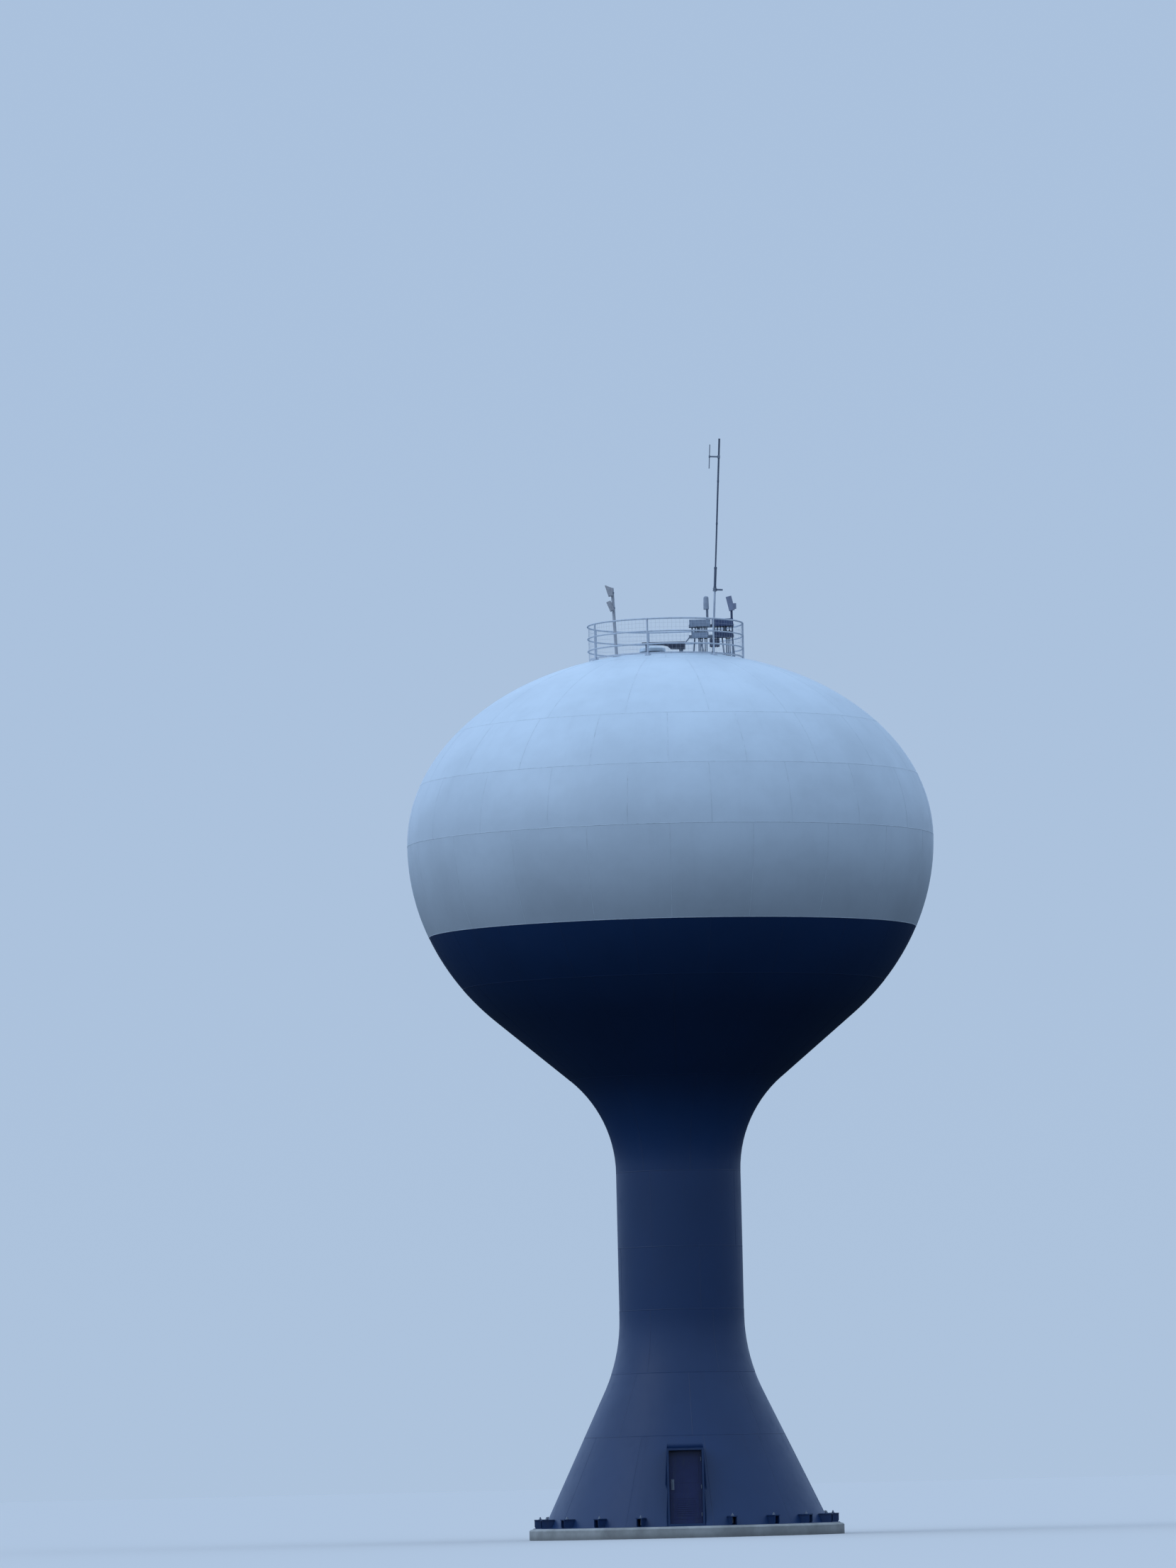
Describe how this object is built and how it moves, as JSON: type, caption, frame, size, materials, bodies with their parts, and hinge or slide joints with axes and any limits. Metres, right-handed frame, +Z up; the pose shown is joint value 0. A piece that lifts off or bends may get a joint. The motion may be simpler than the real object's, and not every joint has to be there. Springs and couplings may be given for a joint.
{
  "type": "single-pedestal spheroid water tower",
  "caption": "Elevated steel water tank: a white and navy spheroid on one flared pedestal, with a railed crown, a whip mast and small radio antennas.",
  "frame": {"origin": "on the tower's vertical axis at ground level, under the foundation ring", "axes": "+Z up, -Y towards the front that the picture shows, +X to the right of that view"},
  "size_m": [15.2, 15.2, 31.6614],
  "materials": {
    "white_paint": "weathered semi-gloss white coating",
    "navy_paint": "weathered semi-gloss navy coating",
    "galvanised_steel": "dull hot-dip galvanised steel",
    "dark_equipment": "matt dark grey equipment paint",
    "grey_equipment": "matt light grey housing",
    "door_paint": "satin navy door paint",
    "concrete": "weathered cast concrete"
  },
  "bodies": {
    "root": {"bowl_upper": "white_paint", "roof_lower": "white_paint", "roof_middle": "white_paint", "roof_upper": "white_paint", "crown_plate": "white_paint", "hatch_curb": "white_paint", "hatch_lid": "white_paint", "vent_neck": "white_paint", "vent_cap": "white_paint", "base_ring": "navy_paint", "bell_lower": "navy_paint", "bell_upper": "navy_paint", "bell_throat": "navy_paint", "shaft_lower": "navy_paint", "shaft_upper": "navy_paint", "bowl_throat": "navy_paint", "bowl_cone": "navy_paint", "bowl_lower": "navy_paint", "tank_floor": "navy_paint", "door_frame": "navy_paint", "handrail_1": "galvanised_steel", "handrail_2": "galvanised_steel", "handrail_3": "galvanised_steel", "handrail_4": "galvanised_steel", "handrail_5": "galvanised_steel", "handrail_6": "galvanised_steel", "handrail_7": "galvanised_steel", "equipment_rack": "galvanised_steel", "mast_foot": "galvanised_steel", "mast_lower": "galvanised_steel", "mast_collar": "galvanised_steel", "mast_upper": "galvanised_steel", "mast_dipole": "galvanised_steel", "left_pole": "galvanised_steel", "radio_box_upper": "dark_equipment", "radio_box_lower": "dark_equipment", "splice_box": "dark_equipment", "stub_antenna_right": "dark_equipment", "left_unit_upper": "grey_equipment", "left_unit_lower": "grey_equipment", "cable_trough": "dark_equipment", "junction_box_upper": "grey_equipment", "junction_box_lower": "grey_equipment", "stub_antenna_left": "grey_equipment", "door_leaf": "door_paint", "foundation_ring": "concrete"}
  },
  "joints": []
}
